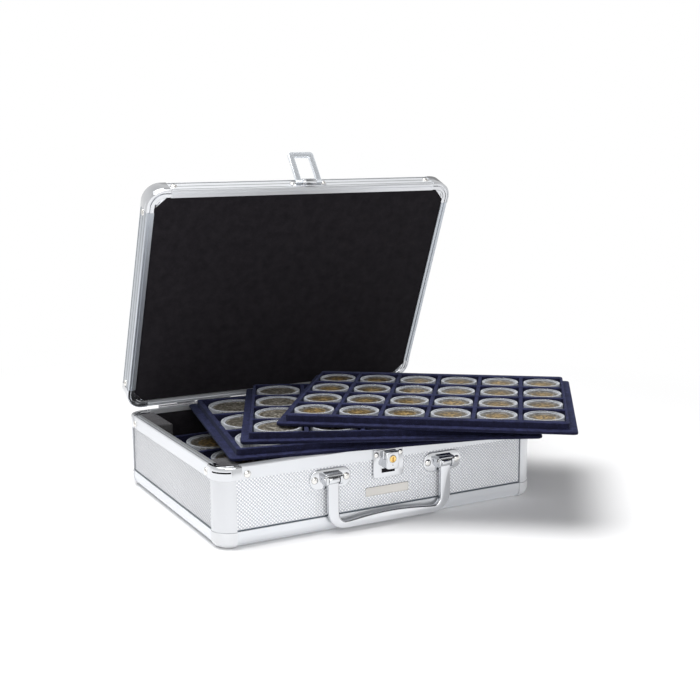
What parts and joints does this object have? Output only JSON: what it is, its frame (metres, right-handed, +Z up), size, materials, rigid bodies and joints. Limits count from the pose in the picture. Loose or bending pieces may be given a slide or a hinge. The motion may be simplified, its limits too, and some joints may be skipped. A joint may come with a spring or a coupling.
{
  "type": "coin collection case",
  "caption": "Aluminium-framed case with a hinged lid, front lock, hasp and folding handle, and loose compartment trays of round coin capsules stacked inside and fanned on top.",
  "frame": {"origin": "on the table plane, under the centre of the base of the case", "axes": "+Z up, +X along the front to the viewer's right, -Y out of the front with the lock"},
  "size_m": [0.3723, 0.3244, 0.2912],
  "materials": {
    "rim_aluminium": "smooth satin extrusion",
    "edge_aluminium": "smooth satin extrusion",
    "textured_panel": "silver laminate with a fine diamond texture",
    "corner_plastic": "smooth light grey moulding",
    "bright_plated": "bright plated pressed steel",
    "rivet_steel": "bright domed head",
    "hinge_steel": "plain plated strip",
    "black_lining": "smooth black lining",
    "black_foam": "soft foam pad",
    "grey_felt": "short grey felt over a block",
    "bare_plate": "plain polished plate",
    "key_brass": "polished end with a keyway",
    "navy_tray": "moulded tray with short navy flock",
    "capsule": "clear round capsule with a disc inside"
  },
  "bodies": {
    "base": {"base_floor_panel": "textured_panel", "base_front_panel": "textured_panel", "base_back_panel": "textured_panel", "base_left_panel": "textured_panel", "base_right_panel": "textured_panel", "base_rim_front": "rim_aluminium", "base_rim_back": "rim_aluminium", "base_rim_left": "rim_aluminium", "base_rim_right": "rim_aluminium", "bottom_edge_front": "edge_aluminium", "bottom_edge_back": "edge_aluminium", "bottom_edge_left": "edge_aluminium", "bottom_edge_right": "edge_aluminium", "corner_posts": "edge_aluminium", "ball_corners": "corner_plastic", "base_corner_fittings": "bright_plated", "base_rivets": "rivet_steel", "base_lining_floor": "black_lining", "base_lining_walls": "black_lining", "base_foam_pad": "black_foam", "tray_spacers": "grey_felt", "lock_plate": "bright_plated", "lock_rivets": "rivet_steel", "name_plate": "bare_plate", "handle_brackets": "bright_plated", "handle_rivets": "rivet_steel", "hinge_base_leaf": "hinge_steel", "hinge_pin": "hinge_steel", "hinge_rivets_base": "rivet_steel"},
    "lid": {"lid_rim_front": "rim_aluminium", "lid_rim_back": "rim_aluminium", "lid_rim_left": "rim_aluminium", "lid_rim_right": "rim_aluminium", "lid_top_panel": "textured_panel", "lid_lining": "black_lining", "lid_corner_fittings": "bright_plated", "lid_rivets": "rivet_steel", "hinge_lid_leaf": "hinge_steel", "hinge_rivets_lid": "rivet_steel", "hasp_plate": "bright_plated", "hasp_rivets": "rivet_steel"},
    "hasp": {"hasp_loop": "bright_plated"},
    "handle": {"handle_bail": "bright_plated"},
    "lock_slider": {"lock_body": "bright_plated"},
    "key_core": {"key_cylinder": "key_brass"},
    "tray_third": {"tray_large": "navy_tray", "capsules_large": "capsule"},
    "tray_second": {"tray_medium": "navy_tray", "capsules_medium": "capsule"},
    "tray_top": {"tray_small": "navy_tray", "capsules_small": "capsule"},
    "stowed_first": {"stowed_tray_lower": "navy_tray"},
    "stowed_second": {"stowed_tray_middle": "navy_tray"},
    "stowed_third": {"stowed_tray_upper": "navy_tray", "stowed_capsules_upper": "capsule"}
  },
  "joints": [
    {"name": "lid_hinge", "type": "hinge", "parent": "base", "child": "lid", "pos_m": [0, 0.1078, 0.06415], "axis": [-1, 0, 0], "range_deg": [-67.5, 0]},
    {"name": "hasp_hinge", "type": "hinge", "parent": "lid", "child": "hasp", "pos_m": [0, 0.02959, 0.26642], "axis": [1, 0, 0], "range_deg": [-30, 148.5]},
    {"name": "handle_hinge", "type": "hinge", "parent": "base", "child": "handle", "pos_m": [0, -0.1099, 0.044], "axis": [-1, 0, 0], "range_deg": [0, 100]},
    {"name": "lock_press", "type": "slide", "parent": "base", "child": "lock_slider", "axis": [0, 0, -1], "range_m": [0, 0.003], "stiffness_N_per_m": 300, "springref_m": -0.001},
    {"name": "key_turn", "type": "hinge", "parent": "lock_slider", "child": "key_core", "pos_m": [0, -0.109, 0.0544], "axis": [0, 1, 0], "range_deg": [0, 90]},
    {"name": "pile_slide", "type": "slide", "parent": "base", "child": "tray_third", "axis": [0, -1, 0], "range_m": [0, 0.2455]},
    {"name": "second_tray_slide", "type": "slide", "parent": "tray_third", "child": "tray_second", "axis": [0.9063, -0.4226, 0], "range_m": [0, 0.12]},
    {"name": "top_tray_slide", "type": "slide", "parent": "tray_second", "child": "tray_top", "axis": [0.8018, -0.5976, 0], "range_m": [0, 0.12]},
    {"name": "stowed_lift_first", "type": "slide", "parent": "base", "child": "stowed_first", "axis": [0, 0, 1], "range_m": [0, 0.0075]},
    {"name": "stowed_lift_second", "type": "slide", "parent": "stowed_first", "child": "stowed_second", "axis": [0, 0, 1], "range_m": [0, 0.0075]},
    {"name": "stowed_lift_third", "type": "slide", "parent": "stowed_second", "child": "stowed_third", "axis": [0, 0, 1], "range_m": [0, 0.0075]}
  ],
  "couplings": [
    {"joint": "pile_slide", "follows": "lid_hinge", "m_per_rad": -0.208}
  ]
}
